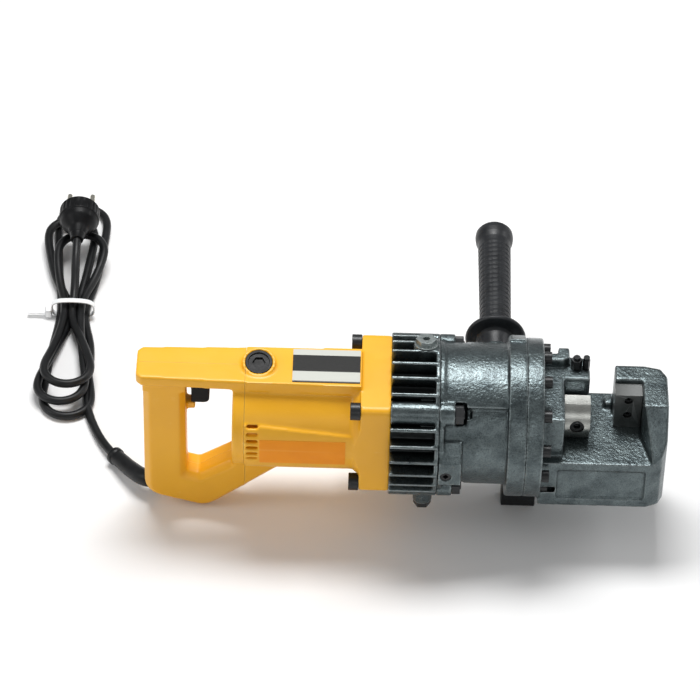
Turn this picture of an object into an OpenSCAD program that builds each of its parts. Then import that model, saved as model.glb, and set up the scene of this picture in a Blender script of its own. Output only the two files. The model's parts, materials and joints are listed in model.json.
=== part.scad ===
/* [Overall] */
// Height of the tool's axis above the surface it stands on
axis_h = 96; // [95:0.5:98]
// Length of the D-handle section, from the rear end to the motor housing
handle_len = 84; // [82:1:86]
// Length of the motor barrel behind its square flange
barrel_len = 89; // [87:1:92]

/* [Motor housing] */
// Radius of the motor barrel
barrel_r = 42; // [41:0.5:43]
// Radius of the lower half of the barrel, which stands proud of the upper half
belly_r = 44; // [43.5:0.25:44]
// Side of the square flange
ring_side = 88; // [86:1:90]
// Thickness of the square flange
ring_t = 23; // [21:1:25]
// Width of the flat spine on top
spine_w = 40; // [38:1:42]

/* [Hydraulic body] */
// Length of the finned oil housing
finned_len = 37; // [35:1:39]
// Radius over the fins
fin_r = 62; // [60:1:62]
// Number of fin places around the housing
fin_places = 28; // [24:4:32]
// Length of the cylinder between the oil housing and the flanges
cylinder_len = 53; // [51:1:55]
// Radius of the cylinder's raised half
cylinder_r = 57; // [56:0.5:58]
// Radius of the two bolted flanges
flange_r = 61.5; // [61:0.5:62]

/* [Jaw] */
// Travel of the ram, from open to cut
stroke = 22; // [18:1:22]
// Radius of the ram's rod
rod_r = 18; // [17:0.5:18]
// Free gap between the two blades when the ram is back
gap = 19; // [19:0.5:22]
// Thickness of each blade
blade_t = 13.5; // [12:0.5:13.5]

/* [Side handle] */
// Distance from the tool's axis to the end of the side handle
side_end = 214; // [205:1:220]
// Distance from the tool's axis to the hand guard
guard_at = 86; // [84:1:88]

/* [Cord] */
// Diameter of the mains lead
cord_d = 7; // [6.5:0.5:7.5]

/* [Hidden] */
$fn = 64;

// Stations along the tool's axis; the two bolted flanges meet at x = 0
flange_t = 14;
head_flange_t = 13;
x_cyl = -flange_t - cylinder_len;
x_oil = x_cyl - finned_len;
x_ring = x_oil - ring_t;
x_barrel = x_ring - barrel_len;
x_rear = x_barrel - handle_len;
x_jaw_end = 110;

// The motor's axis lies above and behind the tool's axis, by one gear centre distance
gear_centres = 15.6;
motor_y = gear_centres * cos(45);
motor_z = gear_centres * sin(45);
stator_r = 28;
brush_x = x_barrel + 10;
brush_tilt = 16;
pinion_teeth = 9;
gear_teeth = 30;
gear_module = 0.8;
crank_throw = 1.5;

// Spine and grip heights, measured from the tool's axis
spine_z = 48;
lip_t = 9.5;
grip_r = 16.5;
grip_w = 15;
grip_x = x_rear + 21.5;
joint_gap = 0.1;

// Through bolts at the corners of the square flange
corner = 38;
bolt_r = 4;

// Jaw heights, measured from the tool's axis
floor_z = -8.2;
head_z = 30;
base_z = -54;
blade_x = 50;
fixed_x = blade_x + gap + 0.4;
guide_x = -9.9;
guide_xs = [39.4, 46.9];
spring_room = 11.1;
piston_x = guide_x - stroke - spring_room;

// Side handle
side_x = -21.5;

// Lead: from the tip of the strain relief, along the floor, into the hank
relief_points = [
    [-287, 0, 17], [-293, 0.8, 16], [-298.5, 4.5, 14.3], [-304, 10.5, 12.4], [-310, 18, 10.4],
    [-316.5, 27, 8.3], [-323, 36, 6.2]
];
relief_radii = [7.5, 7.5, 7.2, 6.8, 6.4, 6.0, 5.6];
lead_points = [
    [-323, 36, 6.2], [-328.5, 44, 4.9], [-333.5, 52.5, 4.0], [-338, 62, 3.5], [-342, 72.5, 3.5],
    [-346, 84, 3.5], [-349, 96, 3.5]
];
hank_x = -367;
hank_y0 = 75;
waist_y = 202;
hank_y1 = 340;
hank_h = 18;
plug_r = 17;
plug_y = 274;

module on_axis() { translate([0, 0, axis_h]) children(); }
module on_motor() { translate([0, motor_y, axis_h + motor_z]) children(); }
// A cylinder along +X that starts at x
module rod(x, len, r) { translate([x, 0, 0]) rotate([0, 90, 0]) cylinder(r = r, h = len); }
module tube(x, len, r, hole) {
    difference() {
        rod(x, len, r);
        rod(x - 1, len + 2, hole);
    }
}
module corners(at = corner) {
    for (sy = [-1, 1], sz = [-1, 1]) translate([0, sy * at, sz * at]) children();
}
// A bar of round-ended section between two points of the X-Z plane, chamfered along its sides
module bar(p, q, rp, rq, half_w, cut = 5) {
    hull() for (e = [[p, rp], [q, rq]])
        translate([e[0][0], 0, e[0][1]]) rotate([90, 0, 0]) {
            cylinder(r = e[1], h = 2 * (half_w - cut), center = true, $fn = 40);
            cylinder(r = e[1] - cut, h = 2 * half_w, center = true, $fn = 40);
        }
}
module strut() { bar([-250, -79.5], [-196, -39.5], grip_r, 13, grip_w); }
module brush_line() {
    on_motor() translate([brush_x, 0, 0]) rotate([brush_tilt, 0, 0]) children();
}
module both_brushes() {
    brush_line() for (a = [0, 180]) rotate([a, 0, 0]) children();
}

// Yellow motor housing with the front half of the spine and the square flange
module ring_outline(side, r) {
    rotate([0, 90, 0]) linear_extrude(ring_t) {
        square([side, side - 2 * r], center = true);
        square([side - 2 * r, side], center = true);
        for (a = [-1, 1], b = [-1, 1]) translate([a, b] * (side / 2 - r)) circle(r);
    }
}
module belly_cut() {
    rotate([90, 0, 0]) linear_extrude(120, center = true)
        polygon([[x_barrel - 1, -60], [x_ring + 1, -60], [x_ring + 1, 13], [x_barrel - 1, 21]]);
}
module spine(x, len, w0, w1, cut = 0) {
    translate([x, 0, spine_z - lip_t]) linear_extrude(lip_t)
        polygon([[0, cut - w0 / 2], [cut, -w0 / 2], [len, -w1 / 2], [len, w1 / 2], [cut, w0 / 2], [0, w0 / 2 - cut]]);
}
module motor_housing() {
    color("gold") difference() {
        union() {
            on_axis() {
                rod(x_barrel, barrel_len, barrel_r);
                intersection() {
                    rod(x_barrel, barrel_len, belly_r);
                    belly_cut();
                }
                translate([x_ring, 0, 0]) ring_outline(ring_side, 5);
                intersection() {
                    translate([x_ring - 7, 0, 0]) rotate([0, 90, 0]) cylinder(r1 = 42, r2 = 50, h = 8);
                    translate([x_ring - 8, -ring_side / 2, -ring_side / 2]) cube([9, ring_side, ring_side]);
                }
                spine(x_barrel, barrel_len, spine_w, spine_w + 3, 0.01);
                translate([x_barrel, -16, 20]) cube([barrel_len, 32, spine_z - lip_t - 20]);
                intersection() {
                    strut();
                    translate([x_barrel, -30, -90]) cube([70, 60, 60]);
                }
            }
            on_motor() {
                rod(x_barrel, barrel_len, stator_r + 4);
                rod(x_barrel - 8, 9, 14);
            }
            both_brushes() translate([0, 0, 20]) cylinder(r = 13, h = 23);
        }
        on_motor() {
            rod(x_barrel + 3, barrel_len - 9, stator_r + 0.1);
            rod(x_barrel - 7.1, 20, 11.02);
            rod(x_barrel - 9, 20, 6);
        }
        on_axis() {
            rod(x_ring - 6.1, ring_t + 7, 36);
            corners() {
                rod(x_ring - 12, ring_t + 20, bolt_r + 0.3);
                rod(x_ring - 12, 12, 7.6);
            }
        }
        both_brushes() {
            translate([0, 0, 15]) cylinder(r = 7.6, h = 40);
            translate([0, 0, 39]) cylinder(r = 10.5, h = 30);
        }
        on_axis() for (s = [-1, 1], i = [0:5]) rotate([s * (64 + i * 8.4), 0, 0])
            translate([x_barrel + 1.5, -1.4, 35]) cube([9.5, 2.8, 30]);
    }
}

// Two halves of the D-handle, hollow in the grip
module handle_solid() {
    on_axis() {
        bar([grip_x, 28], [grip_x, -71], grip_r, grip_r, grip_w);
        bar([grip_x, -71], [-250, -79.5], grip_r, grip_r, grip_w);
        strut();
        spine(x_rear, handle_len - joint_gap, spine_w - 5, spine_w, 4);
        translate([x_rear + 5, -grip_w, 30]) cube([33, 2 * grip_w, 10]);
        translate([-266, -5, 3.5]) cube([11, 10, 7.1]);
        rod(x_barrel - 9.5, 9.4, barrel_r);
        translate([x_barrel - 9.5, -grip_w, -50]) cube([9.4, 2 * grip_w, 90]);
    }
}
module handle_shell() {
    difference() {
        handle_solid();
        on_axis() {
            bar([grip_x, 24], [grip_x, -71], grip_r - 3.5, grip_r - 3.5, grip_w - 3.5, 3);
            bar([grip_x, -71], [-256, -78], grip_r - 3.5, grip_r - 4.5, grip_w - 3.5, 3);
            translate([-270, -6.2, 11]) cube([20, 12.4, 26]);
            translate([x_barrel - joint_gap, -30, -120]) cube([90, 60, 140]);
        }
        on_motor() rod(x_barrel - 8.3, 20, 14.2);
        both_brushes() translate([0, 0, 18]) cylinder(r = 13.2, h = 40);
        translate(relief_points[0] + [6, 0, 0]) rotate([0, -90, 0]) cylinder(r = 7.6, h = 20);
        for (p = screw_places) translate([p[0], 0, axis_h + p[1]]) rotate([-90, 0, 0]) {
            cylinder(r = 2.1, h = 30);
            translate([0, 0, grip_w - 5]) cylinder(r = 4.1, h = 30);
        }
    }
}
screw_places = [[-240, -72], [-223, -59.5], [-220.8, -28]];
module handle_shell_near() {
    color("gold") intersection() {
        handle_shell();
        translate([-320, -80 - joint_gap / 2, -5]) cube([150, 80, 180]);
    }
}
module handle_shell_far() {
    color("gold") intersection() {
        handle_shell();
        translate([-320, joint_gap / 2, -5]) cube([150, 80, 180]);
    }
}
module handle_screws() {
    color("dimgray") for (p = screw_places)
        translate([p[0], 0, axis_h + p[1]]) rotate([-90, 0, 0]) {
            translate([0, 0, 1]) cylinder(r = 2, h = 12);
            translate([0, 0, grip_w - 4.9]) cylinder(r = 3.9, h = 3);
        }
}

// Trigger and switch
module trigger() {
    color("black") on_axis() {
        translate([-258, -5.8, 11.5]) cube([10, 11.6, 22.5]);
        translate([-249, -5.8, 15.5]) cube([5, 11.6, 18.5]);
        translate([-248, 0, 15.5]) rotate([90, 0, 0]) cylinder(r = 4, h = 11.6, center = true);
        translate([-266, -4, 26]) cube([9, 8, 6]);
    }
}
module switch_body() {
    color("dimgray") on_axis() {
        translate([-288, -7.5, 9]) cube([14, 15, 20]);
        translate([-275, -3, 14]) cube([2.6, 6, 5]);
    }
}

// Plain plates where the real ones carry print
module nameplate() {
    color("silver") on_axis() translate([-180, -18, spine_z]) cube([52, 36, 0.8]);
}
module side_badge() {
    color("darkorange") on_axis() intersection() {
        tube(-204, 66, belly_r + 0.4, belly_r + 0.05);
        rotate([5, 0, 0]) translate([-210, -60, -13]) cube([80, 60, 26]);
    }
}

// Carbon brushes in their holders, under screwed caps
module brush_holders() {
    color("goldenrod") both_brushes() translate([0, 0, 19]) difference() {
        cylinder(r = 7.5, h = 19.5);
        translate([-3.6, -5.1, -1]) cube([7.2, 10.2, 30]);
    }
}
module carbon_brushes() {
    color("black") both_brushes() translate([-3.5, -5, 15.4]) cube([7, 10, 16]);
}
module brush_caps() {
    color("black") both_brushes() translate([0, 0, 39.1]) difference() {
        cylinder(r = 10.3, h = 3.4);
        translate([0, 0, 2.4]) cylinder(r = 8.2, h = 3);
        translate([0, 0, 0.8]) cylinder(r = 5, h = 3, $fn = 6);
    }
}

// Four long bolts hold flange, oil housing and cylinder together
module flange_bolts() {
    color("black") on_axis() corners() {
        difference() {
            rod(x_ring - 8, 7.9, 6.8);
            translate([x_ring - 9, 0, 0]) rotate([0, 90, 0]) cylinder(r = 3.4, h = 5, $fn = 6);
        }
        rod(x_ring - 2, ring_t + finned_len + 21.5, bolt_r - 0.1);
    }
}
module flange_nuts() {
    color("black") on_axis() corners() difference() {
        translate([x_cyl + 12.1, 0, 0]) rotate([0, 90, 0]) cylinder(r = 8, h = 6.5, $fn = 6);
        rod(x_cyl + 10, 12, bolt_r);
    }
}

// Motor
module stator_core() {
    color("slategray") on_motor() difference() {
        rod(-185, 42, stator_r);
        rod(-186, 44, 20.5);
        for (s = [-1, 1]) translate([-186, s * 22 - 2.5, -11]) cube([44, 5, 22]);
    }
}
module field_coils() {
    color("peru") on_motor() for (s = [-1, 1], e = [[-191, 5.9], [-142.9, 3.4]])
        translate([e[0], s * 22.2 - 2, -10]) cube([e[1], 4.4, 20]);
}
module armature_shaft() {
    color("silver") on_motor() {
        rod(x_barrel - 7, 105.2, 4);
        difference() {
            rod(-118, 10, (pinion_teeth + 1.2) * gear_module / 2);
            for (i = [0:pinion_teeth - 1]) rotate([135 + i * 360 / pinion_teeth, 0, 0])
                translate([-119, 0, 3.8]) rotate([0, 90, 0]) cylinder(r = 1.05, h = 12);
        }
    }
}
module armature_core() {
    color("sienna") on_motor() difference() {
        tube(-184, 40, 20, 4.02);
        for (i = [0:11]) rotate([i * 30, 0, 0]) translate([-185, -1.2, 17.5]) cube([42, 2.4, 4]);
    }
}
module commutator() {
    color("peru") on_motor() difference() {
        tube(-213, 14, 15, 4.02);
        for (i = [0:11]) rotate([i * 30, 0, 0]) translate([-214, -0.4, 14]) cube([16, 0.8, 3]);
    }
}
module cooling_fan() {
    color("whitesmoke") on_motor() difference() {
        union() {
            tube(-138.9, 2, 26, 4.02);
            tube(-137, 3.6, 8, 4.02);
            for (i = [0:9]) rotate([i * 36, 0, 0]) translate([-137.4, -1, 7.5]) cube([4, 2, 17.5]);
        }
        rod(-145, 20, 4.02);
    }
}
module bearing(x, r, hole, w) {
    color("silver") difference() {
        tube(x, w, r, hole);
        for (dx = [-1, w - 1]) translate([x + dx, 0, 0]) tube(0, 2, r - 2, hole + 2);
    }
}
module rear_bearing() { on_motor() bearing(x_barrel - 7, 11, 4.02, 7); }
module front_bearing() { on_motor() bearing(-130, 11, 4.02, 7); }
module bearing_plate() {
    color("lightgray") difference() {
        on_axis() rod(-133, 10.5, 35.8);
        on_motor() {
            rod(-134, 12, 11.02);
            rod(-134, 10, 6);
            rod(-125, 30, 5.4);
        }
        on_axis() rod(-126, 30, 3.9);
    }
}

// Gear and eccentric that work the pump
module crank_gear() {
    color("silver") on_axis() {
        difference() {
            rod(-117.5, 9, (gear_teeth + 1.2) * gear_module / 2);
            for (i = [0:gear_teeth - 1]) rotate([45 + i * 360 / gear_teeth, 0, 0])
                translate([-119, 0, 12.2]) rotate([0, 90, 0]) cylinder(r = 1, h = 12);
        }
        rod(-125.5, 50, 3.85);
        translate([0, 0, -crank_throw]) rod(-108.5, 12, 7);
    }
}
module crank_bearing() {
    on_axis() translate([0, 0, -crank_throw]) bearing(-106, 13, 7.02, 9);
}

// Finned oil housing, with the places of its filler and drain plugs
module filler_place() { rotate([-13, 0, 0]) translate([-78, 0, 0]) children(); }
module drain_place() { translate([-77, -30, -62]) children(); }
module oil_housing() {
    color("slategray") on_axis() difference() {
        union() {
            rod(x_oil, finned_len, 49);
            rod(x_oil + finned_len - 3, 3, fin_r - 1);
            for (i = [1:fin_places - 1]) if (i % (fin_places / 4) != 0)
                rotate([45 + i * 360 / fin_places, 0, 0])
                    translate([x_oil, -1.3, 46]) cube([finned_len - 1, 2.6, fin_r - 46]);
            corners() rod(x_oil, finned_len, 9);
            filler_place() translate([0, 0, 46]) cylinder(r = 9.5, h = 16);
            drain_place() cylinder(r = 7.5, h = 27);
        }
        corners() rod(x_oil - 1, finned_len + 2, bolt_r + 0.3);
        rod(x_oil - 1, 27, 44);
        rod(x_oil - 1, finned_len + 2, 9);
        filler_place() translate([0, 0, 40]) cylinder(r = 6.02, h = 30);
        drain_place() translate([0, 0, -8]) cylinder(r = 4.02, h = 40);
    }
}
module filler_plug() {
    color("darkslategray") on_axis() filler_place() difference() {
        union() {
            translate([0, 0, 50]) cylinder(r = 5.95, h = 12.2);
            translate([0, 0, 62.1]) cylinder(r = 9, h = 1.4);
            translate([0, 0, 63.4]) cylinder(r = 8.2, h = 4.6, $fn = 6);
        }
        translate([0, 0, 65]) cylinder(r = 3, h = 5, $fn = 6);
    }
}
module drain_plug() {
    color("black") on_axis() drain_place() {
        translate([0, 0, -0.1]) cylinder(r = 3.95, h = 12);
        translate([0, 0, -5]) cylinder(r = 7, h = 4.9, $fn = 6);
    }
}
module oil_bladder() {
    color("dimgray") on_axis() tube(x_oil + 0.5, 24, 43.5, 32);
}
module pump_block() {
    color("gray") on_axis() difference() {
        rod(-106, 27.9, 31.5);
        rod(-107, 14, 18);
        rod(-107, 32, 4.6);
        translate([-101.5, 0, 10]) cylinder(r = 5.02, h = 30);
    }
}
module pump_plunger() {
    color("silver") on_axis() translate([-101.5, 0, 15]) cylinder(r = 4.98, h = 14);
}

// Cylinder with its lugs and flange, and the place of its release valve
module release_place() { translate([-60.5, -48, -9]) rotate([90, 0, 0]) children(); }
module cylinder_body() {
    rod(x_cyl, cylinder_len, cylinder_r - 4.5);
    intersection() {
        rod(x_cyl + 3, cylinder_len - 2, cylinder_r);
        rotate([40, 0, 0]) translate([x_cyl, 0, -70]) cube([cylinder_len + 1, 80, 140]);
    }
    rod(-flange_t, flange_t, flange_r);
    rod(x_cyl, 4, cylinder_r + 1);
    corners() rod(x_cyl, 12, 9);
    rotate([-32, 0, 0]) translate([-13, -9, 57]) cube([12, 18, 6]);
    translate([x_cyl + 0.2, 0, 0]) rotate([90, 0, 90]) linear_extrude(18)
        polygon([[-38, -17], [-60, -17], [-60, 5], [-51, 20], [-38, 20]]);
}
module cylinder_node() {
    color("slategray") on_axis() difference() {
        cylinder_body();
        rod(x_cyl + 8, 80, 30);
        rod(x_cyl - 1, 20, 6);
        rod(-10, 20, 36);
        corners() {
            rod(x_cyl - 1, 26, bolt_r + 0.3);
            rod(x_cyl + 12, 9, 9);
        }
        bolt_circle() translate([-12, 0, 0]) rod(0, 13, 3.3);
        release_place() translate([0, 0, -8]) cylinder(r = 4.05, h = 30);
        translate([side_x, 40, 0]) rotate([-90, 0, 0]) cylinder(r = 6.02, h = 60);
    }
}
module bolt_circle(n = 12) {
    for (i = [0:n - 1]) rotate([15 + i * 360 / n, 0, 0]) translate([0, 0, 52.5]) children();
}
module release_screw() {
    color("silver") on_axis() release_place() difference() {
        translate([0, 0, -7]) cylinder(r = 4, h = 18);
        translate([0, 0, 8]) cylinder(r = 2.4, h = 6, $fn = 4);
    }
}
module handle_boss() {
    color("slategray") on_axis() difference() {
        translate([side_x, 50, 0]) rotate([-90, 0, 0]) cylinder(r = 15, h = 19.6);
        translate([side_x, 0, 0]) rotate([-90, 0, 0]) cylinder(r = 6.02, h = 90);
        rod(x_cyl - 1, cylinder_len + 2, cylinder_r + 0.1);
        rod(-flange_t - 0.1, 30, flange_r + 0.1);
    }
}

// Ram: piston, rod, seal and moving blade
module piston_rod() {
    color("silver") on_axis() difference() {
        union() {
            rod(piston_x - 12, 12, 29.6);
            rod(piston_x - 1, 6 - piston_x, rod_r);
            intersection() {
                rod(4, 42, rod_r);
                translate([4, -30, floor_z + 0.2]) cube([42, 60, 60]);
            }
        }
        translate([30, -30, -30]) cube([30, 30, 60]);
        tube(piston_x - 8.6, 4, 31, 26.5);
        translate([40, -1, 10]) rotate([-90, 0, 0]) cylinder(r = 3.02, h = 14);
    }
}
module piston_seal() {
    color("black") on_axis() tube(piston_x - 8.5, 3.8, 29.7, 26.6);
}
module return_spring() {
    color("lightgray") on_axis() for (i = [0:4])
        tube(piston_x + 0.5 + i * (stroke + spring_room - 4) / 4.4, 3.4, 25.5, 22);
}
module moving_blade() {
    color("lightgray") on_axis() difference() {
        intersection() {
            translate([30.1, -25, floor_z + 0.2]) cube([blade_x - 30.1, 25, 33.2]);
            translate([0, -1, 8]) rod(29, 22, 19.5);
        }
        translate([40, 1, 10]) rotate([90, 0, 0]) {
            cylinder(r = 3.3, h = 30);
            translate([0, 0, 13]) cylinder(r = 5.6, h = 30);
        }
    }
}
module blade_screw() {
    color("black") on_axis() translate([40, 0, 10]) rotate([90, 0, 0]) difference() {
        union() {
            translate([0, 0, -10]) cylinder(r = 2.95, h = 24);
            translate([0, 0, 13.1]) cylinder(r = 5.4, h = 6);
        }
        translate([0, 0, 15.6]) cylinder(r = 3, h = 5, $fn = 6);
    }
}

// Jaw casting, in three solids: flange with its collar, base, and the post beyond the fixed blade
module plan(z0, z1, points) { translate([0, 0, z0]) linear_extrude(z1 - z0) polygon(points); }
module jaw_head() {
    color("slategray") on_axis() difference() {
        union() {
            rod(0, head_flange_t, flange_r);
            plan(floor_z, head_z, [[12, -34], [29.8, -34], [29.8, 13], [blade_x, 13], [blade_x, 34],
                [47, 37], [12, 38]]);
            plan(head_z - 1, 39, [[15, 24], [29, 24], [34, 28], [34, 38], [15, 38]]);
        }
        rod(-1, 60, rod_r + 0.3);
        rod(-1, 9.2, 24.1);
        bolt_circle() {
            rod(-1, 20, 3.3);
            rod(head_flange_t, 12, 5.4);
        }
        for (x = guide_xs) translate([x, 26, head_z - 20]) cylinder(r = 2.52, h = 40);
    }
}
module jaw_base() {
    color("slategray") on_axis() difference() {
        plan(base_z, floor_z - 0.05, [[head_flange_t + 0.05, -42], [97, -42], [106, -38], [x_jaw_end, -30],
            [x_jaw_end, 22], [102, 30], [84, 38], [head_flange_t + 0.05, 38]]);
        rod(-1, 29, rod_r + 0.3);
        bolt_circle() rod(head_flange_t, 12, 5.4);
        translate([26, -43, base_z + 8]) cube([68, 3, 30]);
    }
}
module jaw_post() {
    color("slategray") on_axis() difference() {
        union() {
            plan(floor_z, head_z, [[fixed_x, 14], [fixed_x + 21.4, 14], [fixed_x + 21.4, -14],
                [x_jaw_end, -14], [x_jaw_end, 18], [105, 27], [92, 30], [fixed_x, 30]]);
            intersection() {
                translate([85, 0, 0]) rotate([90, 0, 90]) linear_extrude(25)
                    polygon([[-42, floor_z], [-13, floor_z], [-13, head_z], [-15, head_z], [-38, floor_z + 6]]);
                plan(floor_z, head_z, [[fixed_x + 21.4, -12], [99, -42], [106, -38], [x_jaw_end, -30], [x_jaw_end, -12]]);
            }
            translate([fixed_x - 6, 20, floor_z]) cube([7, 9, 6]);
        }
        for (z = [5, 20]) translate([fixed_x + 10.5, 10, z]) rotate([-90, 0, 0]) cylinder(r = 3.05, h = 16);
    }
}
module head_bolts() {
    color("black") on_axis() bolt_circle() difference() {
        union() {
            rod(-11.5, 25, 3);
            rod(head_flange_t + 0.1, 6, 4.8);
        }
        translate([head_flange_t + 3, 0, 0]) rotate([0, 90, 0]) cylinder(r = 2.5, h = 5, $fn = 6);
    }
}
module rod_guide() {
    color("goldenrod") on_axis() difference() {
        union() {
            rod(guide_x, 9.8, 35.8);
            rod(-0.2, 8.2, 24);
        }
        rod(-11, 22, rod_r + 0.05);
    }
}
module guide_screws() {
    color("black") on_axis() for (i = [0, 1]) translate([guide_xs[i], 26, 0]) {
        translate([0, 0, 21]) cylinder(r = 2.45, h = 20);
        translate([0, 0, head_z + 0.1]) cylinder(r = [4.3, 2.9][i], h = 8.5, $fn = 6);
    }
}
module stand_foot() {
    color("black") difference() {
        union() {
            translate([-14, -3, 0]) cube([27, 16, axis_h - 62]);
            translate([-14, -9, axis_h - 70]) cube([27, 28, 12]);
        }
        on_axis() rod(-30, 60, flange_r + 0.1);
    }
}
module fixed_blade() {
    color("lightgray") on_axis() difference() {
        translate([fixed_x, 0.2, floor_z + 0.1]) cube([21, blade_t, 34]);
        for (z = [5, 20]) translate([fixed_x + 10.5, -1, z]) rotate([-90, 0, 0]) cylinder(r = 3.3, h = 30);
    }
}
module fixed_blade_screws() {
    color("black") on_axis() for (z = [5, 20]) translate([fixed_x + 10.5, 2, z]) rotate([-90, 0, 0]) difference() {
        cylinder(r = 3, h = 23);
        translate([0, 0, -1]) cylinder(r = 1.6, h = 4, $fn = 6);
    }
}

// Side handle, screwed into a boss on the far side of the cylinder
module handle_stud() {
    color("silver") on_axis() translate([side_x, 46, 0]) rotate([-90, 0, 0]) cylinder(r = 5.98, h = 70);
}
module side_grip() {
    color("dimgray") on_axis() translate([side_x, 0, 0]) rotate([-90, 0, 0]) rotate_extrude() polygon([
        [6.02, 69.7], [11, 69.7], [12.5, 78], [14, guard_at - 2], [23.5, guard_at], [24, guard_at + 2.5],
        [23, guard_at + 5], [14, guard_at + 8], [12.2, guard_at + 14], [12.6, guard_at + 40],
        [13.2, side_end - 22], [13.4, side_end - 17], [15.4, side_end - 9], [14.6, side_end - 3],
        [10, side_end], [0, side_end], [0, 117], [6.02, 117]]);
}

// A tube swept along points: rings of n corners, square to the way from point to point
function way(p, i) = let (a = p[max(i - 1, 0)], b = p[min(i + 1, len(p) - 1)]) (b - a) / norm(b - a);
function side_of(d) = let (s = cross(d, [0, 0, 1])) s / norm(s);
function ring(c, d, r, n) = let (s = side_of(d), u = cross(s, d))
    [for (k = [0:n - 1]) c + r * (cos(360 * k / n) * s + sin(360 * k / n) * u)];
module swept(p, radii, n = 10) {
    m = len(p);
    points = [for (i = [0:m - 1]) each ring(p[i], way(p, i), radii[i], n)];
    sides = [for (i = [0:m - 2], k = [0:n - 1])
        [i * n + k, i * n + (k + 1) % n, (i + 1) * n + (k + 1) % n, (i + 1) * n + k]];
    ends = [[for (k = [n - 1:-1:0]) k], [for (k = [0:n - 1]) (m - 1) * n + k]];
    polyhedron(points, concat(sides, ends));
}
module strain_relief() {
    color("black") swept(relief_points, relief_radii, 16);
}
module cord_lead() {
    color("black") swept(lead_points, [for (p = lead_points) cord_d / 2], 10);
}
module cord_hank() {
    color("black") linear_extrude(hank_h) {
        hull() {
            translate([hank_x + 5, hank_y0 + 17]) circle(17);
            translate([hank_x - 5, hank_y0 + 30]) circle(19);
            translate([hank_x, waist_y]) circle(15);
        }
        hull() {
            translate([hank_x, waist_y]) circle(15);
            translate([hank_x + 2, hank_y1 - 22]) circle(22);
            translate([hank_x - 8, hank_y1 - 44]) circle(21);
        }
    }
}
module cable_tie() {
    color("white") difference() {
        union() {
            translate([hank_x - 18.5, waist_y - 3, 0.2]) cube([37, 6, hank_h + 1.6]);
            translate([hank_x - 38, waist_y - 2.5, 3]) cube([21, 5, 1.4]);
        }
        translate([hank_x - 16.9, waist_y - 10, -1]) cube([33.8, 20, hank_h + 1.3]);
    }
}
module on_plug() { translate([hank_x, plug_y, hank_h + plug_r + 0.1]) rotate([-90, 0, 0]) children(); }
module plug_body() {
    color("black") on_plug() {
        translate([0, 0, -16]) cylinder(r1 = 5, r2 = 9, h = 16.1);
        cylinder(r1 = 14, r2 = plug_r, h = 8.1);
        translate([0, 0, 8]) cylinder(r = plug_r, h = 14);
    }
}
module plug_pins() {
    color("silver") on_plug() for (s = [-1, 1])
        translate([s * 9.5, 0, 22.1]) cylinder(r = 2.4, h = 19);
}

motor_housing();
handle_shell_near();
handle_shell_far();
handle_screws();
trigger();
switch_body();
nameplate();
side_badge();
brush_holders();
carbon_brushes();
brush_caps();
flange_bolts();
flange_nuts();
stator_core();
field_coils();
armature_shaft();
armature_core();
commutator();
cooling_fan();
rear_bearing();
front_bearing();
bearing_plate();
crank_gear();
crank_bearing();
oil_housing();
filler_plug();
drain_plug();
oil_bladder();
pump_block();
pump_plunger();
cylinder_node();  // cylinder
release_screw();
piston_rod();
piston_seal();
return_spring();
jaw_head();
jaw_base();
jaw_post();
head_bolts();
rod_guide();
guide_screws();
stand_foot();
moving_blade();
blade_screw();
fixed_blade();
fixed_blade_screws();
handle_boss();
handle_stud();
side_grip();
strain_relief();
cord_lead();
cord_hank();
cable_tie();
plug_body();
plug_pins();
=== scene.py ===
import bmesh
import bpy
import json
import math
from mathutils import Matrix, Vector


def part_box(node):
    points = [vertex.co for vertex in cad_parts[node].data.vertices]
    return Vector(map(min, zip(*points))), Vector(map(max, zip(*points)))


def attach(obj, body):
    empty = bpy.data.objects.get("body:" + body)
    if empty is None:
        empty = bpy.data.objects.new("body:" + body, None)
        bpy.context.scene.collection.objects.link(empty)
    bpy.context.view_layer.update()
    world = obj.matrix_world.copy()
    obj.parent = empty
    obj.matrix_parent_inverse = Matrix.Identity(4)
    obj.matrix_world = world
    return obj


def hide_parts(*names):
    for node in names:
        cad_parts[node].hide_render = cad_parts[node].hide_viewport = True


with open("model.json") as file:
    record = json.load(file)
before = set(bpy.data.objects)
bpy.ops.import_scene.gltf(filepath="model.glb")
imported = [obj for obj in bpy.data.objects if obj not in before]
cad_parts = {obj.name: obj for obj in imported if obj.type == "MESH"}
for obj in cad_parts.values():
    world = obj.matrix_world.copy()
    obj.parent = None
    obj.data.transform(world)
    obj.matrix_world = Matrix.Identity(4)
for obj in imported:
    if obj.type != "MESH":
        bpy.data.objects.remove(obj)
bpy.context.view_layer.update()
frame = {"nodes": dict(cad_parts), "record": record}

MM = 0.001
AXIS_H = 0.096
ROOT = "housing"
BODY_OF = {n: b for b, ns in frame["record"]["behaviour"]["bodies"].items() for n in ns}
SLOT_OF = {s["node"]: s["material_slot"] for s in frame["record"]["subparts"]}
scene = bpy.context.scene

# ---------------------------------------------------------------- camera
TILT = math.radians(43.5)
ROLL = math.radians(1.6)
DISTANCE = 3.0          # far back, so that upright edges stay nearly parallel
FRAME_WIDTH = 0.5432    # what the picture spans at the aim point, in metres
AIM_RISE = 0.048112     # the picture's centre above the tool's axis, along the picture's own up
forward = Vector((0, math.cos(TILT), -math.sin(TILT)))
flat_up = Vector((0, math.sin(TILT), math.cos(TILT)))
cam_right = Vector((1, 0, 0)) * math.cos(ROLL) + flat_up * math.sin(ROLL)
cam_up = flat_up * math.cos(ROLL) - Vector((1, 0, 0)) * math.sin(ROLL)
aim = Vector((-0.1351, 0, AXIS_H)) + cam_up * AIM_RISE
cam = bpy.data.objects.new("camera", bpy.data.cameras.new("camera"))
scene.collection.objects.link(cam)
cam.matrix_world = Matrix.Translation(aim - forward * DISTANCE) @ Matrix(
    (cam_right, cam_up, -forward)).transposed().to_4x4()
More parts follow.
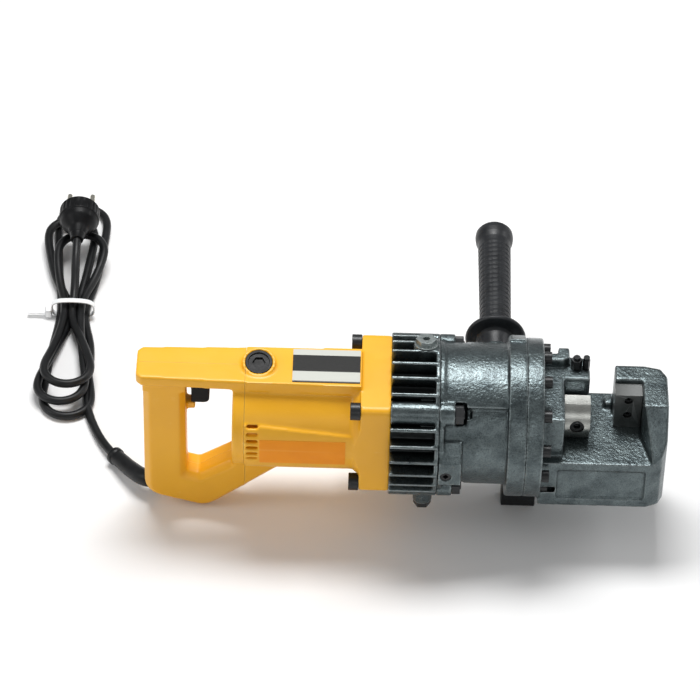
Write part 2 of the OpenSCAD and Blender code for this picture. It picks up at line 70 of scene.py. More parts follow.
cam.data.sensor_width = 36
cam.data.lens = cam.data.sensor_width * DISTANCE / FRAME_WIDTH
cam.data.clip_start = 0.05
cam.data.clip_end = 30
scene.camera = cam


# ---------------------------------------------------------------- materials
class Nodes:
    """A material's node tree, with short calls for the nodes used here."""

    def __init__(self, name):
        self.mat = bpy.data.materials.new(name)
        self.mat.use_nodes = True
        self.tree = self.mat.node_tree
        self.out = next(n for n in self.tree.nodes if n.type == "BSDF_PRINCIPLED")
        self.coord = self.add("ShaderNodeTexCoord").outputs["Object"]

    def add(self, kind, **values):
        n = self.tree.nodes.new(kind)
        for k, v in values.items():
            setattr(n, k, v)
        return n

    def link(self, a, b):
        self.tree.links.new(a, b)

    def noise(self, scale, detail=3, rough=0.5, stretch=None):
        n = self.add("ShaderNodeTexNoise")
        n.inputs["Scale"].default_value = scale
        n.inputs["Detail"].default_value = detail
        n.inputs["Roughness"].default_value = rough
        source = self.coord
        if stretch:
            m = self.add("ShaderNodeMapping")
            m.inputs["Scale"].default_value = stretch
            self.link(source, m.inputs["Vector"])
            source = m.outputs["Vector"]
        self.link(source, n.inputs["Vector"])
        return n.outputs["Fac"]

    def ramp(self, fac, *stops):
        r = self.add("ShaderNodeValToRGB")
        el = r.color_ramp.elements
        while len(el) < len(stops):
            el.new(0.5)
        for e, (at, c) in zip(el, stops):
            e.position = at
            e.color = (c, c, c, 1) if isinstance(c, (int, float)) else (*c, 1)
        self.link(fac, r.inputs["Fac"])
        return r.outputs["Color"]

    def mix(self, fac, a, b, mode="MIX"):
        m = self.add("ShaderNodeMix", data_type="RGBA", blend_type=mode)
        for v, i in ((fac, 0), (a, 6), (b, 7)):
            if isinstance(v, tuple):
                m.inputs[i].default_value = (*v, 1)
            elif isinstance(v, (int, float)):
                m.inputs[i].default_value = v
            else:
                self.link(v, m.inputs[i])
        return m.outputs[2]

    # mask of convex edges: used for painted edge highlights, and on the castings for edge wear
    def edges(self, lo=0.52, hi=0.6):
        g = self.add("ShaderNodeNewGeometry")
        return self.ramp(g.outputs["Pointiness"], (lo, 0), (hi, 1))

    # mask of hollows and creases, used to paint shade into them
    def painted_hollow_shade(self, lo=0.40, hi=0.49):
        g = self.add("ShaderNodeNewGeometry")
        return self.ramp(g.outputs["Pointiness"], (lo, 1), (hi, 0))

    def bump(self, height, distance, strength=1.0, over=None):
        b = self.add("ShaderNodeBump")
        b.inputs["Distance"].default_value = distance
        b.inputs["Strength"].default_value = strength
        self.link(height, b.inputs["Height"])
        if over:
            self.link(over, b.inputs["Normal"])
        return b.outputs["Normal"]

    def base(self, colour=None, rough=None, metal=0.0, coat=0.0, normal=None, spec=0.5):
        o = self.out.inputs
        if isinstance(colour, tuple):
            o["Base Color"].default_value = (*colour, 1)
        else:
            self.link(colour, o["Base Color"])
        if isinstance(rough, (int, float)):
            o["Roughness"].default_value = rough
        else:
            self.link(rough, o["Roughness"])
        o["Metallic"].default_value = metal
        o["Coat Weight"].default_value = coat
        o["Coat Roughness"].default_value = 0.25
        o["Specular IOR Level"].default_value = spec
        if normal:
            self.link(normal, o["Normal"])
        return self.mat


def yellow():
    n = Nodes("yellow_nylon")
    tone = n.ramp(n.noise(22, 4), (0.3, (0.87, 0.42, 0.010)), (0.7, (0.93, 0.465, 0.014)))
    # painted shade: hollows and creases darkened in the yellow
    tone = n.mix(n.painted_hollow_shade(0.42, 0.485), tone, (0.62, 0.28, 0.012))
    # painted highlight: convex edges lightened in the yellow
    tone = n.mix(n.edges(0.53, 0.62), tone, (1.0, 0.62, 0.10))
    scuff = n.ramp(n.noise(160, 6, 0.6, (1, 6, 1)), (0.66, 0), (0.74, 0.25))
    tone = n.mix(scuff, tone, (0.98, 0.60, 0.12))
    rough = n.ramp(n.noise(60, 5), (0.3, 0.34), (0.75, 0.46))
    normal = n.bump(n.noise(1400, 2), 0.00008, 0.5)
    normal = n.bump(n.noise(14, 3), 0.0012, 0.25, normal)
    return n.base(tone, rough, 0, 0.1, normal, 0.45)


def casting(name, dark, light, rough=(0.34, 0.52), metal=0.55, grain=1.0, wear=(0.55, 0.60, 0.60), fins=False):
    n = Nodes(name)
    blotch = n.ramp(n.noise(70, 6, 0.62), (0.32, dark), (0.68, light))
    speck = n.ramp(n.noise(900, 3, 0.7), (0.34, 0.55), (0.52, 1.0))
    tone = n.mix(1.0, blotch, speck, "MULTIPLY")
    # painted shade: hollows darkened towards the casting's dark tone
    tone = n.mix(n.painted_hollow_shade(0.41, 0.49), tone, tuple(c * 0.35 for c in dark))
    rub = n.mix(1.0, n.edges(0.515, 0.575), n.ramp(n.noise(240, 5, 0.7), (0.36, 0.1), (0.6, 1.0)), "MULTIPLY")
    tone = n.mix(rub, tone, wear)
    if fins:            # painted shade: darker towards the axis, in the deep gaps between the cooling fins
        off = n.add("ShaderNodeVectorMath")
        off.operation = "SUBTRACT"
        n.link(n.coord, off.inputs[0])
        off.inputs[1].default_value = (0, 0, AXIS_H)
        flat = n.add("ShaderNodeVectorMath")
        flat.operation = "MULTIPLY"
        n.link(off.outputs["Vector"], flat.inputs[0])
        flat.inputs[1].default_value = (0, 1, 1)
        reach = n.add("ShaderNodeVectorMath")
        reach.operation = "LENGTH"
        n.link(flat.outputs["Vector"], reach.inputs[0])
        fin_root_shade = n.add("ShaderNodeMapRange")
        n.link(reach.outputs["Value"], fin_root_shade.inputs["Value"])
        fin_root_shade.inputs["From Min"].default_value = 0.0505
        fin_root_shade.inputs["From Max"].default_value = 0.0595
        fin_root_shade.inputs["To Min"].default_value = 0.1
        tone = n.mix(1.0, tone, fin_root_shade.outputs["Result"], "MULTIPLY")
    rg = n.ramp(n.noise(120, 5, 0.6), (0.3, rough[0]), (0.72, rough[1]))
    normal = n.bump(n.noise(900, 3, 0.6), 0.00022, 0.5 * grain)
    normal = n.bump(n.noise(380, 3, 0.55), 0.0008, 0.5 * grain, normal)
    return n.base(tone, rg, metal, 0.15, normal, 0.5)


def steel(name, low, high, rough, stretch=(1, 1, 12), metal=1.0, stain=0.0, scale=500):
    n = Nodes(name)
    tone = n.ramp(n.noise(scale, 4, 0.6, stretch), (0.3, low), (0.7, high))
    # painted highlight: convex edges lightened
    tone = n.mix(n.edges(0.53, 0.6), tone, tuple(min(1, c * 1.5 + 0.05) for c in high))
    if stain:
        patch = n.ramp(n.noise(90, 6, 0.65), (0.46, 0), (0.66, stain))
        tone = n.mix(patch, tone, (0.07, 0.06, 0.055))
    rg = n.ramp(n.noise(scale * 1.3, 4, 0.6, stretch), (0.3, rough[0]), (0.7, rough[1]))
    normal = n.bump(n.noise(scale * 2, 3, 0.6, stretch), 0.00006, 0.5)
    return n.base(tone, rg, metal, 0, normal, 0.5)


def plastic(name, a, b, rough, scale=80, grain=1500, depth=0.00008, coat=0.0, spec=0.5, edge=None):
    n = Nodes(name)
    tone = n.ramp(n.noise(scale, 5, 0.6), (0.32, a), (0.7, b))
    # painted highlight: convex edges lightened, to edge when it is given
    tone = n.mix(n.edges(0.53, 0.62), tone, edge or tuple(min(1, c * 1.7 + 0.02) for c in b))
    rg = n.ramp(n.noise(scale * 2, 5, 0.6), (0.3, rough[0]), (0.7, rough[1]))
    return n.base(tone, rg, 0, coat, n.bump(n.noise(grain, 3, 0.6), depth, 0.6), spec)


def plate_material():
    """A silver plate with a plain dark band across its middle."""
    n = Nodes("nameplate_bands")
    s = n.add("ShaderNodeSeparateXYZ")
    n.link(n.coord, s.inputs["Vector"])
    lo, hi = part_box("nameplate")
    to = n.add("ShaderNodeMapRange")
    for i, v in ((1, lo.y), (2, hi.y), (3, 0), (4, 1)):
        to.inputs[i].default_value = v
    n.link(s.outputs["Y"], to.inputs[0])
    r = n.add("ShaderNodeValToRGB")
    r.color_ramp.interpolation = "CONSTANT"
    el = r.color_ramp.elements
    for _ in range(3):
        el.new(0.5)
    for e, (at, c) in zip(el, ((0, 0), (0.03, 1), (0.32, 0), (0.335, 2), (0.82, 1))):
        e.position = at
        e.color = {0: (0.10, 0.10, 0.095, 1), 1: (0.58, 0.59, 0.54, 1), 2: (0.018, 0.018, 0.018, 1)}[c]
    n.link(to.outputs[0], r.inputs["Fac"])
    wear = n.ramp(n.noise(700, 4, 0.6, (1, 14, 1)), (0.3, 0.0), (0.7, 0.06))
    tone = n.mix(wear, r.outputs["Color"], (0.30, 0.30, 0.28))
    rg = n.ramp(n.noise(500, 4, 0.6, (1, 14, 1)), (0.3, 0.28), (0.7, 0.42))
    return n.base(tone, rg, 0.1, 0, n.bump(n.noise(900, 3, 0.6, (1, 12, 1)), 0.00004, 0.5), 0.25)


M = {
    "housing_yellow": yellow(),
    "cast_grey": casting("cast_grey_paint", (0.065, 0.084, 0.09), (0.15, 0.185, 0.19), (0.26, 0.4), 0.85, 1.25,
                         (0.42, 0.47, 0.475)),
    # a copy of the grey casting with painted shade at the roots of its fins
    "cast_fins_shaded": casting("cast_grey_fins_painted_shade", (0.075, 0.095, 0.10), (0.16, 0.195, 0.20), (0.26, 0.4), 0.85, 0.9,
                         (0.46, 0.51, 0.51), fins=True),
    # a darker copy of the blade steel for the fixed blade: painted shade of its near face
    "shaded_blade_steel": steel("fixed_blade_steel_painted_shade", (0.085, 0.09, 0.088), (0.125, 0.13, 0.128), (0.32, 0.42),
                        (1, 10, 1), 0.95, 0.15, 240),
    "black_steel": steel("black_oxide", (0.005, 0.0055, 0.006), (0.018, 0.02, 0.022), (0.3, 0.44), (1, 1, 1), 0.3),
    "bright_steel": steel("ground_steel", (0.50, 0.52, 0.53), (0.78, 0.80, 0.80), (0.16, 0.3), (14, 1, 1)),
    "blade_steel": steel("tool_steel", (0.36, 0.37, 0.35), (0.47, 0.48, 0.455), (0.26, 0.36),
                         (1, 10, 1), 1.0, 0.16, 240),
    "black_plastic": plastic("black_plastic", (0.003, 0.003, 0.0035), (0.008, 0.0085, 0.0095), (0.34, 0.5), spec=0.16,
                             edge=(0.03, 0.031, 0.033)),
    "nameplate_silver": plate_material(),
    "badge_orange": plastic("orange_film", (0.90, 0.285, 0.008), (0.96, 0.325, 0.012), (0.34, 0.46),
                            40, 400, 0.00003, 0.0, 0.2, (0.96, 0.40, 0.05)),
    "brass": steel("turned_brass", (0.62, 0.42, 0.16), (0.82, 0.62, 0.28), (0.2, 0.36), (10, 1, 1)),
    "carbon": plastic("carbon", (0.012, 0.012, 0.012), (0.035, 0.034, 0.033), (0.5, 0.72), 200),
    "lamination": steel("stacked_sheet", (0.16, 0.17, 0.18), (0.42, 0.43, 0.45), (0.32, 0.5), (40, 1, 1), 0.9, 0.3),
    "winding": steel("enamelled_copper", (0.30, 0.10, 0.03), (0.62, 0.26, 0.08), (0.2, 0.36), (1, 22, 1), 0.7),
    "alloy": casting("die_cast_alloy", (0.36, 0.37, 0.38), (0.56, 0.57, 0.58), (0.3, 0.46), 0.85, 0.5, (0.8, 0.8, 0.8)),
    "plug_steel": casting("plug_paint", (0.20, 0.235, 0.235), (0.34, 0.38, 0.375), (0.24, 0.38), 0.6, 0.3),
    "oil_rubber": plastic("nitrile", (0.012, 0.012, 0.012), (0.03, 0.03, 0.03), (0.45, 0.62)),
    "grip_rubber": plastic("grip_rubber", (0.007, 0.008, 0.01), (0.016, 0.018, 0.021), (0.36, 0.52),
                           90, 900, 0.00012, spec=0.4),
    "cord_rubber": plastic("cord_rubber", (0.0025, 0.003, 0.0035), (0.007, 0.0075, 0.0085), (0.34, 0.48),
                           60, 1200, 0.0001, spec=0.28),
    "tie_white": plastic("tie_nylon", (0.72, 0.75, 0.76), (0.84, 0.87, 0.88), (0.28, 0.4), 120),
    "pin_metal": steel("plated_pin", (0.62, 0.60, 0.52), (0.85, 0.83, 0.74), (0.14, 0.26), (1, 10, 1)),
}


# ---------------------------------------------------------------- mesh helpers
def settle(obj, body=ROOT, slot=None, *nodes):
    """Puts a piece on its body, gives it its slot's material if it has none, and hides the CAD nodes that it stands
    for.
    """
    if obj.type == "MESH" and not obj.data.materials:
        obj.data.materials.append(M[slot])
    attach(obj, body)
    if nodes:
        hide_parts(*nodes)
    return obj


def new_object(name, mesh):
    obj = bpy.data.objects.new(name, mesh)
    scene.collection.objects.link(obj)
    return obj


def clean(name, node):
    """A copy of a CAD node's mesh with whole faces in place of its triangles."""
    mesh = frame["nodes"][node].data.copy()
    mesh.name = name
    mesh.materials.clear()
    bm = bmesh.new()
    bm.from_mesh(mesh)
    bmesh.ops.remove_doubles(bm, verts=bm.verts, dist=2e-6)
    bmesh.ops.dissolve_limit(bm, angle_limit=math.radians(0.6), verts=bm.verts, edges=bm.edges)
    bmesh.ops.recalc_face_normals(bm, faces=bm.faces)
    for f in bm.faces:
        f.smooth = True
    bm.to_mesh(mesh)
    bm.free()
    for a in [a.name for a in mesh.attributes if a.name in ("custom_normal", "sharp_face", "sharp_edge")]:
        mesh.attributes.remove(mesh.attributes[a])
    for p in mesh.polygons:
        p.use_smooth = True
    return new_object(name, mesh)


def bake_modifiers(obj):
    """Replaces the piece's mesh by what its modifiers make of it."""
    bpy.context.view_layer.update()
    made = bpy.data.meshes.new_from_object(obj.evaluated_get(bpy.context.evaluated_depsgraph_get()))
    obj.modifiers.clear()
    old, obj.data = obj.data, made
    made.name = obj.name
    bpy.data.meshes.remove(old)
    for p in made.polygons:
        p.use_smooth = True
    return obj


def soften(obj, width, segments=3, angle=28):
    """Bevels the edges of a hard-edged piece, with shading that keeps its faces flat."""
    b = obj.modifiers.new("edge", "BEVEL")
    b.width = width
    b.segments = segments
    b.limit_method = "ANGLE"
    b.angle_limit = math.radians(angle)
    b.use_clamp_overlap = True
    b.miter_outer = "MITER_ARC"
    w = obj.modifiers.new("normals", "WEIGHTED_NORMAL")
    w.mode = "FACE_AREA"
    w.weight = 50
    return obj


def round_off(obj, voxel, passes, more=None, extra=0):
    """Every edge and inner corner run round, as a casting or moulding has; more(co) weights extra passes."""
    r = obj.modifiers.new("remesh", "REMESH")
    r.mode = "VOXEL"
    r.voxel_size = voxel
    bake_modifiers(obj)
    s = obj.modifiers.new("smooth", "SMOOTH")
    s.factor = 0.5
    s.iterations = passes
    if more:
        group = obj.vertex_groups.new(name="soft")
        for v in obj.data.vertices:
            w = more(v.co)
            if w > 0:
                group.add([v.index], w, "REPLACE")
        t = obj.modifiers.new("softer", "SMOOTH")
        t.factor = 0.5
        t.iterations = extra
        t.vertex_group = "soft"
    bake_modifiers(obj)
    obj.vertex_groups.clear()
    return obj


def moulded(name, node, voxel, passes):
    return round_off(clean(name, node), voxel, passes)


def welded(name, parts):
    """One mesh of several CAD nodes: parts maps a node to a shift that closes the thin gaps between them."""
    bm = bmesh.new()
    for node, shift in parts:
        obj = clean(name + node, node)
        for v in obj.data.vertices:
            v.co = shift(v.co.copy())
        bm.from_mesh(obj.data)
        mesh = obj.data
        bpy.data.objects.remove(obj)
        bpy.data.meshes.remove(mesh)
    mesh = bpy.data.meshes.new(name)
    bm.to_mesh(mesh)
    bm.free()
    return new_object(name, mesh)


def part_of(whole, name, *planes):
    """The part of a closed mesh on the inner side of each plane (point, outward normal), closed again."""
    mesh = whole.data.copy()
    mesh.name = name
    bm = bmesh.new()
    bm.from_mesh(mesh)
    for point, normal in planes:
        made = bmesh.ops.bisect_plane(bm, geom=bm.verts[:] + bm.edges[:] + bm.faces[:], dist=1e-6,
                                      plane_co=point, plane_no=normal, clear_outer=True)
        rim = [e for e in made["geom_cut"] if isinstance(e, bmesh.types.BMEdge) and e.is_boundary]
        bmesh.ops.triangle_fill(bm, edges=rim, use_beauty=True, use_dissolve=False)
    bmesh.ops.recalc_face_normals(bm, faces=bm.faces)
    for f in bm.faces:
        f.smooth = True
    for e in bm.edges:
        if e.is_manifold and e.calc_face_angle(0) > math.radians(50):
            e.smooth = False
    bm.to_mesh(mesh)
    bm.free()
    return new_object(name, mesh)


def lathe(name, profile, origin, axis, steps=64, wobble=None):
    """A turned piece: profile is (distance along axis, radius) from end to end, in millimetres."""
    axis = Vector(axis).normalized()
    side = axis.orthogonal().normalized()
    other = axis.cross(side)
    bm = bmesh.new()
    rings = []
    for a, r in profile:
        c = Vector(origin) + axis * a * MM
        if r < 1e-6:
            rings.append([bm.verts.new(c)])
            continue
        ring = []
        for k in range(steps):
            t = 2 * math.pi * k / steps
            rr = r * MM * (wobble(a, t) if wobble else 1)
            ring.append(bm.verts.new(c + side * rr * math.cos(t) + other * rr * math.sin(t)))
        rings.append(ring)
    for p, q in zip(rings, rings[1:]):
        n = max(len(p), len(q))
        for k in range(n):
            loop = [p[k % len(p)], p[(k + 1) % len(p)], q[(k + 1) % len(q)], q[k % len(q)]]
            loop = list(dict.fromkeys(loop))
            if len(loop) > 2:
                bm.faces.new(loop)
    bmesh.ops.recalc_face_normals(bm, faces=bm.faces)
    mesh = bpy.data.meshes.new(name)
    bm.to_mesh(mesh)
    bm.free()
    for p in mesh.polygons:
        p.use_smooth = True
    return new_object(name, mesh)


def rounded(profile, r=0.6, steps=4):
    """The profile with its inner points turned into small arcs of about radius r."""
    out = [profile[0]]
    for a, b, c in zip(profile, profile[1:], profile[2:]):
        a, b, c = Vector(a), Vector(b), Vector(c)
        u, v = a - b, c - b
        k = min(r, u.length * 0.45, v.length * 0.45)
        p, q = b + u.normalized() * k, b + v.normalized() * k
        for i in range(steps + 1):
            t = i / steps
            out.append(tuple(p * (1 - t) ** 2 + b * 2 * t * (1 - t) + q * t * t))
    out.append(profile[-1])
    return out


def smooth_path(points, gap):
    """Points about gap apart on a smooth line through the given ones."""
    pts = [Vector(p) for p in points]
    pts = [pts[0] * 2 - pts[1]] + pts + [pts[-1] * 2 - pts[-2]]
    out = []
    for a, b, c, d in zip(pts, pts[1:], pts[2:], pts[3:]):
        steps = max(2, int((c - b).length / gap))
        for i in range(steps):
            t = i / steps
            out.append(0.5 * (2 * b + (c - a) * t + (2 * a - 5 * b + 4 * c - d) * t * t
                              + (3 * b - a - 3 * c + d) * t ** 3))
    out.append(pts[-2])
    return out


def spread_evenly(points, gap):
    """The same line with its points an even distance apart."""
    out, left = [points[0]], gap
    for a, b in zip(points, points[1:]):
        while (b - a).length >= left:
            a = a + (b - a).normalized() * left
            out.append(a)
            left = gap
        left -= (b - a).length
    out.append(points[-1])
    return out


def sweep(name, path, outline, cap=True):
    """A mesh along path: outline(i, share) gives the section's points as (across, up), in metres."""
    bm = bmesh.new()
    rings = []
    for i, p in enumerate(path):
        d = (path[min(i + 1, len(path) - 1)] - path[max(i - 1, 0)]).normalized()
        side = d.cross(Vector((0, 0, 1))).normalized()
        up = side.cross(d)
        rings.append([bm.verts.new(p + side * a + up * b) for a, b in outline(i, i / (len(path) - 1))])
    for p, q in zip(rings, rings[1:]):
        for k in range(len(p)):
            j = (k + 1) % len(p)
            bm.faces.new((p[k], p[j], q[j], q[k]))
    if cap:
        bm.faces.new(rings[0][::-1])
        bm.faces.new(rings[-1])
    bmesh.ops.recalc_face_normals(bm, faces=bm.faces)
    mesh = bpy.data.meshes.new(name)
    bm.to_mesh(mesh)
    bm.free()
    for p in mesh.polygons:
        p.use_smooth = True
    return new_object(name, mesh)


def round_section(r, n=24):
    return [(r * math.cos(2 * math.pi * k / n), r * math.sin(2 * math.pi * k / n)) for k in range(n)]


# ---------------------------------------------------------------- cord
CORD_D = 0.007
LEAD = [(-323, 36, 6.2), (-328.5, 44, 4.9), (-333.5, 52.5, 4.0), (-338, 62, 3.5), (-342, 72.5, 3.5),
        (-346, 84, 3.5), (-349, 96, 3.5)]
HANK_X, WAIST_Y = -367.0, 202.0


def fold(cx, cy, r, z, way):
    """A half turn: way is 1 for the far end, taken from right to left, and -1 for the near end."""
    return [(cx + way * r * math.cos(math.pi * k / 8), cy + way * r * math.sin(math.pi * k / 8), z)
            for k in range(9)]


def hank_points():
    w = lambda dx, z, dy=0: (HANK_X + dx, WAIST_Y + dy, z)
    pts = list(LEAD)
    pts += [(-350, 116, 3.5), (-349, 142, 3.5), (-350.5, 168, 3.5), w(10.5, 3.5, -12), w(10.5, 3.5, 10),
            (-350, 246, 3.5)]
    pts += fold(-366.5, 315, 21, 3.5, 1)
    pts += [(-382, 250, 3.5), w(-10.5, 3.5, 12), w(-10.5, 3.5, -12), (-381, 160, 3.5)]
    pts += fold(-365, 99, 20.5, 3.5, -1)
    pts += [(-354, 152, 3.5), w(3.5, 3.5, -14), w(3.5, 3.5, 12), (-359, 242, 7.5)]
    pts += fold(-374.5, 292, 20.5, 10.6, 1)
    pts += [(-384, 240, 7.5), w(-3.5, 3.5, 12), w(-3.5, 3.5, -14), (-378, 156, 7.5)]
    pts += fold(-370.5, 109, 20.5, 10.6, -1)
    pts += [(-357, 160, 9.6), w(7, 9.6, -12), w(7, 9.6, 12)]
    pts += [(-352, 234, 10.6)] + fold(-364, 266, 20.5, 17.6, 1)
    pts += [(-380, 232, 10.6), w(-7, 9.6, 8), w(-7, 9.6, -16), (-379, 156, 10.6)]
    pts += fold(-366, 122, 20.5, 17.6, -1)
    pts += [(-357, 162, 12), w(0, 9.6, -14), w(0, 11, 6), (-366.5, 222, 17), (-367, 240, 28.5),
            (-367, 252, 33.6), (-367, 262, 35.1)]
    return pts


line = [Vector(p) * MM for p in hank_points()]
line = spread_evenly(smooth_path(line, 0.002), 0.0035)
for _ in range(14):
    line[1:-1] = [(a + b * 2 + c) / 4 for a, b, c in zip(line, line[1:], line[2:])]
for p in line:
    p.z = max(p.z, CORD_D / 2)
curve = bpy.data.curves.new("mains_cord", "CURVE")
curve.dimensions = "3D"
spline = curve.splines.new("POLY")
spline.points.add(len(line) - 1)
for s, p in zip(spline.points, line):
    s.co = (*p, 1)
curve.bevel_depth = CORD_D / 2
curve.bevel_resolution = 5
curve.use_fill_caps = True
cord = new_object("mains_cord", curve)
curve.materials.append(M["cord_rubber"])
spline.use_smooth = True
settle(cord, ROOT, "cord_rubber", "cord_lead", "cord_hank")

# strain relief: a tapered sleeve with a collar near its tip and a narrower end
RELIEF = [(-281, 0, 17.5), (-287, 0, 17), (-293, 0.8, 16), (-298.5, 4.5, 14.3), (-304, 10.5, 12.4), (-310, 18, 10.4),
          (-316.5, 27, 8.3), (-323, 36, 6.2)]
relief_line = spread_evenly(smooth_path([Vector(p) * MM for p in RELIEF], 0.001), 0.0006)


def relief_section(i, s):
    r = 7.3 - 1.1 * s
    if s > 0.9:
        r = 7.1
    if s > 0.975:
        r = 5.6
    return round_section(r * MM, 28)


relief = settle(sweep("strain_sleeve", relief_line, relief_section), ROOT, "cord_rubber", "strain_relief")

# cable tie round the waist of the hank
band = []
for k in range(49):
    t = 2 * math.pi * k / 48
    band.append(Vector((HANK_X + 16.9 * math.copysign(abs(math.cos(t)) ** 0.6, math.cos(t)), WAIST_Y,
                        9.6 + 8.2 * math.copysign(abs(math.sin(t)) ** 0.6, math.sin(t)))) * MM)


def tie():
    bm = bmesh.new()
    mid = Vector((HANK_X, WAIST_Y, 9.6)) * MM
    rings = []
    for p in band[:-1]:
        out = (p - mid).normalized()
        rings.append([bm.verts.new(p + out * a * MM + Vector((0, b * MM, 0)))
                      for a, b in ((0, -2.4), (0.9, -2.4), (1.3, -1.9), (1.3, 1.9), (0.9, 2.4), (0, 2.4))])
    for i, p in enumerate(rings):
        q = rings[(i + 1) % len(rings)]
        for k in range(6):
            bm.faces.new((p[k], p[(k + 1) % 6], q[(k + 1) % 6], q[k]))
    # head and toothed tail
    def block(lo, hi, cut):
        made = bmesh.ops.create_cube(bm, size=1)["verts"]
        lo, hi = Vector(lo) * MM, Vector(hi) * MM
        for v in made:
            v.co = Vector([lo[i] + (v.co[i] + 0.5) * (hi[i] - lo[i]) for i in range(3)])
        es = list({e for v in made for e in v.link_edges})
        bmesh.ops.bevel(bm, geom=es, offset=cut * MM, segments=2, affect="EDGES")
    x = HANK_X - 18.6
    block((x - 4.5, WAIST_Y - 3.6, 1.2), (x + 1.2, WAIST_Y + 3.6, 8.6), 0.7)
    block((x - 19, WAIST_Y - 2.3, 3.6), (x - 3.5, WAIST_Y + 2.3, 5.0), 0.35)
    for i in range(12):
        block((x - 18 + i * 1.1, WAIST_Y - 1.6, 4.8), (x - 17.5 + i * 1.1, WAIST_Y + 1.6, 5.35), 0.1)
    bmesh.ops.recalc_face_normals(bm, faces=bm.faces)
    mesh = bpy.data.meshes.new("hank_tie")
    bm.to_mesh(mesh)
    bm.free()
    for p in mesh.polygons:
        p.use_smooth = True
    obj = new_object("hank_tie", mesh)
    obj.modifiers.new("normals", "WEIGHTED_NORMAL")
    return obj


tie_piece = settle(tie(), ROOT, "tie_white", "cable_tie")

# plug: a moulded body with a ribbed grip, and two round pins
PLUG = Vector((HANK_X, 274, 35.1)) * MM
plug_profile = rounded([(-15.9, 3.5), (-15.9, 5.4), (-9, 6.6), (-3, 8.4), (1.5, 12.5), (4, 14.4), (8, 16.0), (9, 16.9),
                        (20.6, 16.9), (21.9, 15.6), (21.9, 0)], 1.2)
plug = lathe("mains_plug", plug_profile, PLUG, (0, 1, 0), 96,
             lambda a, t: 1 - (0.05 * max(0, math.cos(t * 24)) if 9.5 < a < 20 else 0)
             - (0.05 * abs(math.sin(a * 1.6)) if a < -4 else 0))
settle(plug, ROOT, "black_plastic", "plug_body")
for s in (-1, 1):
    pin = lathe("plug_pin_%s" % ("a" if s < 0 else "b"),
                rounded([(22.1, 0), (22.1, 2.3), (24, 2.3), (24.4, 2.0), (29, 2.0), (29.4, 2.4), (39.6, 2.4),
                         (41.1, 1.3), (41.1, 0)], 0.5),
                PLUG + Vector((s * 9.5 * MM, 0, 0)), (0, 1, 0), 32)
    settle(pin, ROOT, "pin_metal")
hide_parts("plug_pins")

# ---------------------------------------------------------------- castings and mouldings
FINE = 1.0
SHADED_COPIES = {"oil_housing": "cast_fins_shaded", "fixed_blade": "shaded_blade_steel"}       # copies of a slot's material with painted shade, used instead of the slot's own
SEAM = -0.2161          # where the handle shells meet the motor housing
GAP = 0.00012           # half the visible gap of a seam


def shut(side):
    """Moves a handle shell's parting face and front face a little way into its neighbours."""
    def move(co):
        if abs(co.y) < 0.0002:
            co.y = side * 0.0006
        if co.x > SEAM - 0.0002:
            co.x = SEAM + 0.0007
        return co
    return move


def handle_softness(co):
    return min(1.0, max(0.0, (SEAM - 0.001 - co.x) / 0.006))


body = welded("yellow_whole", (("handle_shell_near", shut(1)), ("handle_shell_far", shut(-1)),
                               ("motor_housing", lambda co: co)))
round_off(body, 1.0 * MM * FINE, 5, handle_softness, 14)
for name, node, planes in (
        ("handle_half_near", "handle_shell_near", (((0, -GAP, 0), (0, 1, 0)), ((SEAM - GAP, 0, 0), (1, 0, 0)))),
        ("handle_half_far", "handle_shell_far", (((0, GAP, 0), (0, -1, 0)), ((SEAM - GAP, 0, 0), (1, 0, 0)))),
        ("motor_cover", "motor_housing", (((SEAM + GAP, 0, 0), (-1, 0, 0)),))):
    settle(part_of(body, name, *planes), ROOT, "housing_yellow", node)
bpy.data.objects.remove(body)


def join_head(co):
    if abs(co.z - AXIS_H + 0.0082) < 0.0002:
        co.z -= 0.0008
    return co


def join_base(co):
    if abs(co.x - 0.01305) < 0.0002:
        co.x -= 0.001
    return co


jaw = welded("jaw_casting", (("jaw_head", join_head), ("jaw_base", join_base), ("jaw_post", join_head)))
round_off(jaw, 0.95 * MM * FINE, 5, lambda co: 1.0 if co.x > 0.0135 and co.z > 0.05 else 0.0, 3)
settle(jaw, ROOT, "cast_grey", "jaw_head", "jaw_base", "jaw_post")
for node, voxel, passes in (
        ("oil_housing", 0.8, 3), ("cylinder", 1.0, 5), ("handle_boss", 0.8, 4), ("stand_foot", 0.9, 4),
        ("trigger", 0.5, 6)):
    piece = moulded(node + "_cast", node, voxel * MM * FINE, passes)
    if node in SHADED_COPIES:
        piece.data.materials.append(M[SHADED_COPIES[node]])
    settle(piece, BODY_OF[node], SLOT_OF[node], node)

# ---------------------------------------------------------------- hard-edged parts
EDGE = {
    "handle_screws": 0.3, "nameplate": 0.2, "side_badge": 0.1, "brush_caps": 0.5, "flange_bolts": 0.6,
    "flange_nuts": 0.5, "filler_plug": 0.6, "drain_plug": 0.5, "release_screw": 0.4, "piston_rod": 0.5,
    "head_bolts": 0.45, "guide_screws": 0.4, "moving_blade": 0.7, "blade_screw": 0.4, "fixed_blade": 0.7,
    "fixed_blade_screws": 0.3, "rod_guide": 0.4, "switch_body": 0.5, "brush_holders": 0.2, "carbon_brushes": 0.2,
    "stator_core": 0.3, "field_coils": 1.2, "armature_shaft": 0.2, "armature_core": 0.25, "commutator": 0.12,
    "cooling_fan": 0.3, "rear_bearing": 0.25, "front_bearing": 0.25, "bearing_plate": 0.4, "crank_gear": 0.2,
    "crank_bearing": 0.25, "oil_bladder": 0.6, "pump_block": 0.5, "pump_plunger": 0.3, "piston_seal": 0.25,
    "return_spring": 0.6, "handle_stud": 0.3,
}
for node, width in EDGE.items():
    piece = soften(clean(node + "_part", node), width * MM)
    if node in SHADED_COPIES:
        piece.data.materials.append(M[SHADED_COPIES[node]])
    settle(piece, BODY_OF[node], SLOT_OF[node], node)

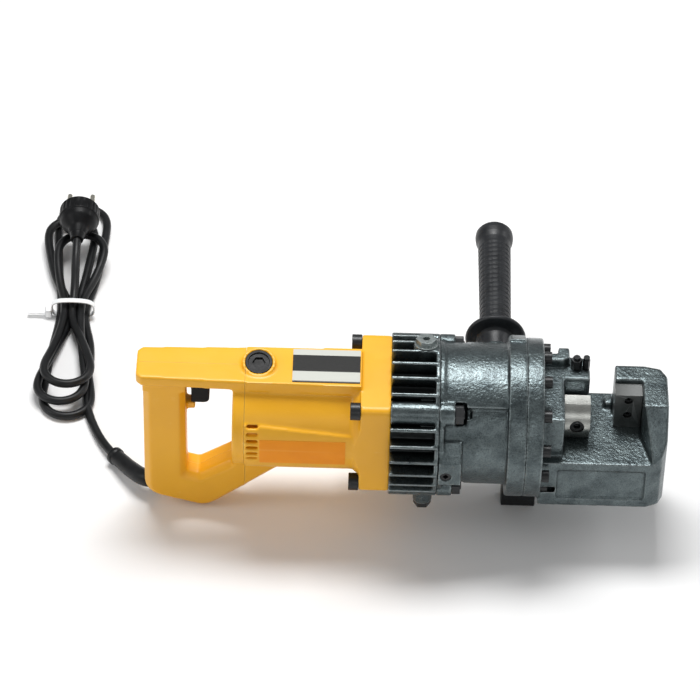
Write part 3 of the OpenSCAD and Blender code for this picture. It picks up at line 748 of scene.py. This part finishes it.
# ---------------------------------------------------------------- side handle
grip_lo, grip_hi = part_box("side_grip")
gx, gz = (grip_lo.x + grip_hi.x) / 2, (grip_lo.z + grip_hi.z) / 2
END = 214.0             # outer end of the grip, in mm from the tool's axis
profile = [(69.8, 6.2), (69.8, 10.6), (71, 11.1), (78, 12.4), (83, 13.6), (85, 15.5), (85.8, 20), (86.6, 23.0),
           (88.2, 24.0), (90.2, 23.4), (91.6, 20), (93.4, 15.5), (96, 13.4), (101, 12.3)]
y = 104.0
while y < END - 26:
    profile += [(y, 12.4 + (y - 100) * 0.009), (y + 0.5, 12.0 + (y - 100) * 0.009), (y + 1.7, 12.0 + (y - 100) * 0.009),
                (y + 2.2, 12.45 + (y - 100) * 0.009), (y + 4.2, 12.5 + (y - 100) * 0.009)]
    y += 5.2
profile += [(END - 22, 13.2), (END - 17, 13.5), (END - 12.5, 14.9), (END - 8, 15.4), (END - 4, 15.0), (END - 1.4, 13.2),
            (END - 0.4, 10), (END, 7.5), (END - 0.7, 6.6), (END - 1.0, 0)]
side = lathe("side_handle_grip", rounded(profile, 0.5, 3), (gx, 0, gz), (0, 1, 0), 96,
             lambda a, t: 1 - (0.018 * max(0, math.cos(t * 12)) ** 6 if 104 < a < END - 24 else 0))
settle(side, ROOT, "grip_rubber", "side_grip")

# ---------------------------------------------------------------- floor and light
floor_mesh = bpy.data.meshes.new("floor")
bm = bmesh.new()
S = 6.0
vs = [bm.verts.new((x * S - 0.15, y * S + 0.1, -0.0003)) for x, y in ((-1, -1), (1, -1), (1, 1), (-1, 1))]
bm.faces.new(vs)
bm.to_mesh(floor_mesh)
bm.free()
floor = new_object("floor", floor_mesh)
n = Nodes("pale_floor")
floor_mesh.materials.append(n.base((0.93, 0.93, 0.93), 0.65, spec=0.2))


def lamp(name, at, to, size, power, size_y=None, colour=(1, 1, 1)):
    light = bpy.data.lights.new(name, "AREA")
    light.shape = "RECTANGLE"
    light.size = size
    light.size_y = size_y or size
    light.energy = power
    light.color = colour
    obj = bpy.data.objects.new(name, light)
    scene.collection.objects.link(obj)
    obj.location = at
    obj.rotation_mode = "QUATERNION"
    obj.rotation_quaternion = (Vector(to) - Vector(at)).to_track_quat("-Z", "Y")
    return obj


centre = (-0.13, 0.05, 0.08)
lamp("key_overhead", (-0.2, 0.5, 1.5), centre, 0.8, 21, 0.45)
lamp("front_fill", (0.2, -1.7, 0.9), centre, 1.2, 3.6, 0.6)
lamp("left_fill", (-1.6, -0.3, 0.9), centre, 0.7, 5)
lamp("right_rim", (1.3, 0.6, 0.9), centre, 0.6, 5)
world = bpy.data.worlds.new("studio")
scene.world = world
world.use_nodes = True
world.node_tree.nodes["Background"].inputs["Color"].default_value = (1, 1, 1, 1)
world.node_tree.nodes["Background"].inputs["Strength"].default_value = 0.28
scene.view_settings.view_transform = "Standard"
scene.view_settings.look = "None"
scene.view_settings.exposure = 0.0
